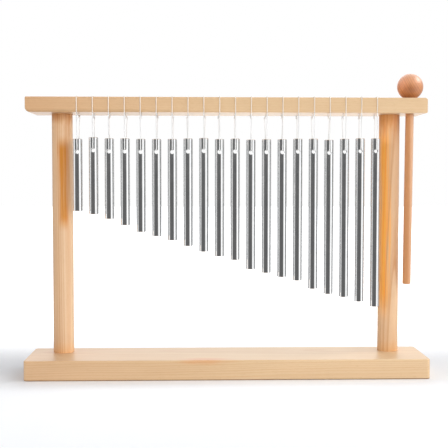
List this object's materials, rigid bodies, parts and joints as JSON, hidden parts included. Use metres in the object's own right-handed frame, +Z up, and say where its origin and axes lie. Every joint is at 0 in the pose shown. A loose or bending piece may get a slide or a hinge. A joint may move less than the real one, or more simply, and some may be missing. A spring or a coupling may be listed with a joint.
{
  "type": "bar chimes",
  "caption": "Table-top bar chimes: a graded row of hollow metal tubes hung on cord loops from a wooden bar on two round posts over a base board, with a ball mallet stored in the bar.",
  "frame": {"origin": "middle of the base board's underside", "axes": "+X along the row towards the longest tubes and the mallet, +Y from the player's side to the back, +Z up"},
  "size_m": [0.382, 0.066, 0.2903],
  "materials": {
    "base_pine": "fine-grained pale pine, satin lacquer",
    "bar_pine": "fine-grained pale pine, satin lacquer",
    "post_pine": "straight-grained pine dowel with orange-brown late-wood stripes, satin lacquer",
    "mallet_beech": "reddish beech, smooth satin",
    "tube_aluminium": "polished",
    "nylon_cord": "clear nylon cord",
    "screw_steel": "zinc-plated"
  },
  "bodies": {
    "stand": {"base_board": "base_pine", "top_bar": "bar_pine", "left_post": "post_pine", "right_post": "post_pine", "base_screws": "screw_steel", "cord_wraps": "nylon_cord"},
    "mallet": {"mallet_head": "mallet_beech", "mallet_stick": "mallet_beech"},
    "cord_01": {"cord_01": "nylon_cord"},
    "tube_01": {"tube_01": "tube_aluminium"},
    "cord_02": {"cord_02": "nylon_cord"},
    "tube_02": {"tube_02": "tube_aluminium"},
    "cord_03": {"cord_03": "nylon_cord"},
    "tube_03": {"tube_03": "tube_aluminium"},
    "cord_04": {"cord_04": "nylon_cord"},
    "tube_04": {"tube_04": "tube_aluminium"},
    "cord_05": {"cord_05": "nylon_cord"},
    "tube_05": {"tube_05": "tube_aluminium"},
    "cord_06": {"cord_06": "nylon_cord"},
    "tube_06": {"tube_06": "tube_aluminium"},
    "cord_07": {"cord_07": "nylon_cord"},
    "tube_07": {"tube_07": "tube_aluminium"},
    "cord_08": {"cord_08": "nylon_cord"},
    "tube_08": {"tube_08": "tube_aluminium"},
    "cord_09": {"cord_09": "nylon_cord"},
    "tube_09": {"tube_09": "tube_aluminium"},
    "cord_10": {"cord_10": "nylon_cord"},
    "tube_10": {"tube_10": "tube_aluminium"},
    "cord_11": {"cord_11": "nylon_cord"},
    "tube_11": {"tube_11": "tube_aluminium"},
    "cord_12": {"cord_12": "nylon_cord"},
    "tube_12": {"tube_12": "tube_aluminium"},
    "cord_13": {"cord_13": "nylon_cord"},
    "tube_13": {"tube_13": "tube_aluminium"},
    "cord_14": {"cord_14": "nylon_cord"},
    "tube_14": {"tube_14": "tube_aluminium"},
    "cord_15": {"cord_15": "nylon_cord"},
    "tube_15": {"tube_15": "tube_aluminium"},
    "cord_16": {"cord_16": "nylon_cord"},
    "tube_16": {"tube_16": "tube_aluminium"},
    "cord_17": {"cord_17": "nylon_cord"},
    "tube_17": {"tube_17": "tube_aluminium"},
    "cord_18": {"cord_18": "nylon_cord"},
    "tube_18": {"tube_18": "tube_aluminium"},
    "cord_19": {"cord_19": "nylon_cord"},
    "tube_19": {"tube_19": "tube_aluminium"},
    "cord_20": {"cord_20": "nylon_cord"},
    "tube_20": {"tube_20": "tube_aluminium"}
  },
  "joints": [
    {"name": "mallet_lift", "type": "slide", "parent": "stand", "child": "mallet", "axis": [0.0087, 0, 1], "range_m": [0, 0.2]},
    {"name": "cord_01_sway", "type": "hinge", "parent": "stand", "child": "cord_01", "pos_m": [-0.1425, -0.00525, 0.2515], "axis": [0, -1, 0], "range_deg": [-35, 3.4]},
    {"name": "tube_01_rock", "type": "hinge", "parent": "cord_01", "child": "tube_01", "pos_m": [-0.1425, -0.0055, 0.21585], "axis": [0, -1, 0], "range_deg": [-20, 5.6]},
    {"name": "cord_02_sway", "type": "hinge", "parent": "stand", "child": "cord_02", "pos_m": [-0.1275, -0.00525, 0.2515], "axis": [0, -1, 0], "range_deg": [-3.3, 3.3]},
    {"name": "tube_02_rock", "type": "hinge", "parent": "cord_02", "child": "tube_02", "pos_m": [-0.1275, -0.0055, 0.21735], "axis": [0, -1, 0], "range_deg": [-5.2, 5.2]},
    {"name": "cord_03_sway", "type": "hinge", "parent": "stand", "child": "cord_03", "pos_m": [-0.1125, -0.00525, 0.2515], "axis": [0, -1, 0], "range_deg": [-3.2, 3.2]},
    {"name": "tube_03_rock", "type": "hinge", "parent": "cord_03", "child": "tube_03", "pos_m": [-0.1125, -0.0055, 0.21635], "axis": [0, -1, 0], "range_deg": [-4.9, 4.9]},
    {"name": "cord_04_sway", "type": "hinge", "parent": "stand", "child": "cord_04", "pos_m": [-0.0975, -0.00525, 0.2515], "axis": [0, -1, 0], "range_deg": [-3, 3]},
    {"name": "tube_04_rock", "type": "hinge", "parent": "cord_04", "child": "tube_04", "pos_m": [-0.0975, -0.0055, 0.21635], "axis": [0, -1, 0], "range_deg": [-4.5, 4.5]},
    {"name": "cord_05_sway", "type": "hinge", "parent": "stand", "child": "cord_05", "pos_m": [-0.0825, -0.00525, 0.2515], "axis": [0, -1, 0], "range_deg": [-2.8, 2.8]},
    {"name": "tube_05_rock", "type": "hinge", "parent": "cord_05", "child": "tube_05", "pos_m": [-0.0825, -0.0055, 0.21585], "axis": [0, -1, 0], "range_deg": [-4.1, 4.1]},
    {"name": "cord_06_sway", "type": "hinge", "parent": "stand", "child": "cord_06", "pos_m": [-0.0675, -0.00525, 0.2515], "axis": [0, -1, 0], "range_deg": [-2.7, 2.7]},
    {"name": "tube_06_rock", "type": "hinge", "parent": "cord_06", "child": "tube_06", "pos_m": [-0.0675, -0.0055, 0.21585], "axis": [0, -1, 0], "range_deg": [-3.9, 3.9]},
    {"name": "cord_07_sway", "type": "hinge", "parent": "stand", "child": "cord_07", "pos_m": [-0.0525, -0.00525, 0.2515], "axis": [0, -1, 0], "range_deg": [-2.6, 2.6]},
    {"name": "tube_07_rock", "type": "hinge", "parent": "cord_07", "child": "tube_07", "pos_m": [-0.0525, -0.0055, 0.21585], "axis": [0, -1, 0], "range_deg": [-3.8, 3.8]},
    {"name": "cord_08_sway", "type": "hinge", "parent": "stand", "child": "cord_08", "pos_m": [-0.0375, -0.00525, 0.2515], "axis": [0, -1, 0], "range_deg": [-2.5, 2.5]},
    {"name": "tube_08_rock", "type": "hinge", "parent": "cord_08", "child": "tube_08", "pos_m": [-0.0375, -0.0055, 0.21635], "axis": [0, -1, 0], "range_deg": [-3.5, 3.5]},
    {"name": "cord_09_sway", "type": "hinge", "parent": "stand", "child": "cord_09", "pos_m": [-0.0225, -0.00525, 0.2515], "axis": [0, -1, 0], "range_deg": [-2.4, 2.4]},
    {"name": "tube_09_rock", "type": "hinge", "parent": "cord_09", "child": "tube_09", "pos_m": [-0.0225, -0.0055, 0.21685], "axis": [0, -1, 0], "range_deg": [-3.3, 3.3]},
    {"name": "cord_10_sway", "type": "hinge", "parent": "stand", "child": "cord_10", "pos_m": [-0.0075, -0.00525, 0.2515], "axis": [0, -1, 0], "range_deg": [-2.3, 2.3]},
    {"name": "tube_10_rock", "type": "hinge", "parent": "cord_10", "child": "tube_10", "pos_m": [-0.0075, -0.0055, 0.21585], "axis": [0, -1, 0], "range_deg": [-3.2, 3.2]},
    {"name": "cord_11_sway", "type": "hinge", "parent": "stand", "child": "cord_11", "pos_m": [0.0075, -0.00525, 0.2515], "axis": [0, -1, 0], "range_deg": [-2.3, 2.3]},
    {"name": "tube_11_rock", "type": "hinge", "parent": "cord_11", "child": "tube_11", "pos_m": [0.0075, -0.0055, 0.21635], "axis": [0, -1, 0], "range_deg": [-3.1, 3.1]},
    {"name": "cord_12_sway", "type": "hinge", "parent": "stand", "child": "cord_12", "pos_m": [0.0225, -0.00525, 0.2515], "axis": [0, -1, 0], "range_deg": [-2.1, 2.1]},
    {"name": "tube_12_rock", "type": "hinge", "parent": "cord_12", "child": "tube_12", "pos_m": [0.0225, -0.0055, 0.21535], "axis": [0, -1, 0], "range_deg": [-2.8, 2.8]},
    {"name": "cord_13_sway", "type": "hinge", "parent": "stand", "child": "cord_13", "pos_m": [0.0375, -0.00525, 0.2515], "axis": [0, -1, 0], "range_deg": [-2.1, 2.1]},
    {"name": "tube_13_rock", "type": "hinge", "parent": "cord_13", "child": "tube_13", "pos_m": [0.0375, -0.0055, 0.21585], "axis": [0, -1, 0], "range_deg": [-2.7, 2.7]},
    {"name": "cord_14_sway", "type": "hinge", "parent": "stand", "child": "cord_14", "pos_m": [0.0525, -0.00525, 0.2515], "axis": [0, -1, 0], "range_deg": [-2, 2]},
    {"name": "tube_14_rock", "type": "hinge", "parent": "cord_14", "child": "tube_14", "pos_m": [0.0525, -0.0055, 0.21585], "axis": [0, -1, 0], "range_deg": [-2.6, 2.6]},
    {"name": "cord_15_sway", "type": "hinge", "parent": "stand", "child": "cord_15", "pos_m": [0.0675, -0.00525, 0.2515], "axis": [0, -1, 0], "range_deg": [-2, 2]},
    {"name": "tube_15_rock", "type": "hinge", "parent": "cord_15", "child": "tube_15", "pos_m": [0.0675, -0.0055, 0.21635], "axis": [0, -1, 0], "range_deg": [-2.6, 2.6]},
    {"name": "cord_16_sway", "type": "hinge", "parent": "stand", "child": "cord_16", "pos_m": [0.0825, -0.00525, 0.2515], "axis": [0, -1, 0], "range_deg": [-1.9, 1.9]},
    {"name": "tube_16_rock", "type": "hinge", "parent": "cord_16", "child": "tube_16", "pos_m": [0.0825, -0.0055, 0.21635], "axis": [0, -1, 0], "range_deg": [-2.4, 2.4]},
    {"name": "cord_17_sway", "type": "hinge", "parent": "stand", "child": "cord_17", "pos_m": [0.0975, -0.00525, 0.2515], "axis": [0, -1, 0], "range_deg": [-1.8, 1.8]},
    {"name": "tube_17_rock", "type": "hinge", "parent": "cord_17", "child": "tube_17", "pos_m": [0.0975, -0.0055, 0.21535], "axis": [0, -1, 0], "range_deg": [-2.3, 2.3]},
    {"name": "cord_18_sway", "type": "hinge", "parent": "stand", "child": "cord_18", "pos_m": [0.1125, -0.00525, 0.2515], "axis": [0, -1, 0], "range_deg": [-1.8, 1.8]},
    {"name": "tube_18_rock", "type": "hinge", "parent": "cord_18", "child": "tube_18", "pos_m": [0.1125, -0.0055, 0.21635], "axis": [0, -1, 0], "range_deg": [-2.3, 2.3]},
    {"name": "cord_19_sway", "type": "hinge", "parent": "stand", "child": "cord_19", "pos_m": [0.1275, -0.00525, 0.2515], "axis": [0, -1, 0], "range_deg": [-1.8, 1.8]},
    {"name": "tube_19_rock", "type": "hinge", "parent": "cord_19", "child": "tube_19", "pos_m": [0.1275, -0.0055, 0.21685], "axis": [0, -1, 0], "range_deg": [-2.2, 2.2]},
    {"name": "cord_20_sway", "type": "hinge", "parent": "stand", "child": "cord_20", "pos_m": [0.1425, -0.00525, 0.2515], "axis": [0, -1, 0], "range_deg": [-1.7, 3.5]},
    {"name": "tube_20_rock", "type": "hinge", "parent": "cord_20", "child": "tube_20", "pos_m": [0.1425, -0.0055, 0.21685], "axis": [0, -1, 0], "range_deg": [-2.1, 5]}
  ]
}
